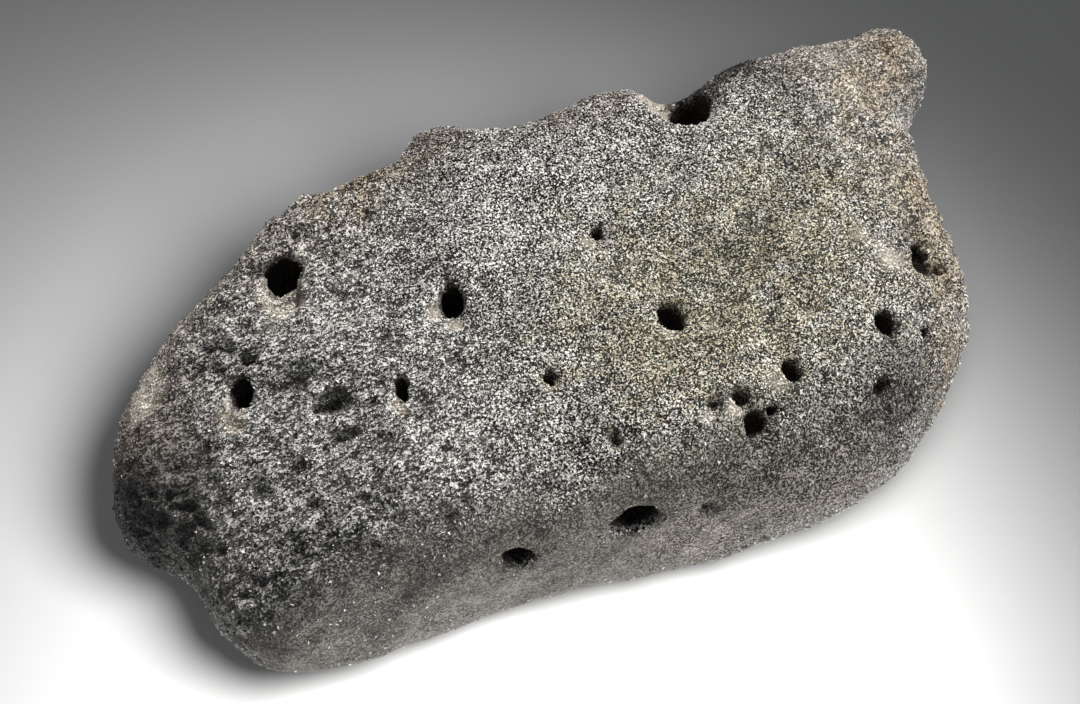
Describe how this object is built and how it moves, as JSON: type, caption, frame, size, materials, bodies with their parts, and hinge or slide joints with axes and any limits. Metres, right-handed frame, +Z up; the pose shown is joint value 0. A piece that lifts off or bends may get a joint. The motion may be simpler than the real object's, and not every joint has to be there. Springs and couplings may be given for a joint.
{
  "type": "lunar meteorite",
  "caption": "Palm-sized pitted stone: a thick worn slab of granular grey rock with a blunt horn at one end, gas pits in its upper face and a broken notch in its back edge.",
  "frame": {"origin": "under the middle of the stone, on the surface that it rests on", "axes": "+X along the length, towards the end with the horn; +Y from the front side towards the notched back edge; +Z up, through the thickness"},
  "size_m": [0.1023, 0.0534, 0.031],
  "materials": {
    "stone": "rough, granular, matt, with fine light and dark grains, brown stains at the raised edges and small glinting crystal faces"
  },
  "bodies": {
    "root": {"meteorite": "stone"}
  },
  "joints": []
}
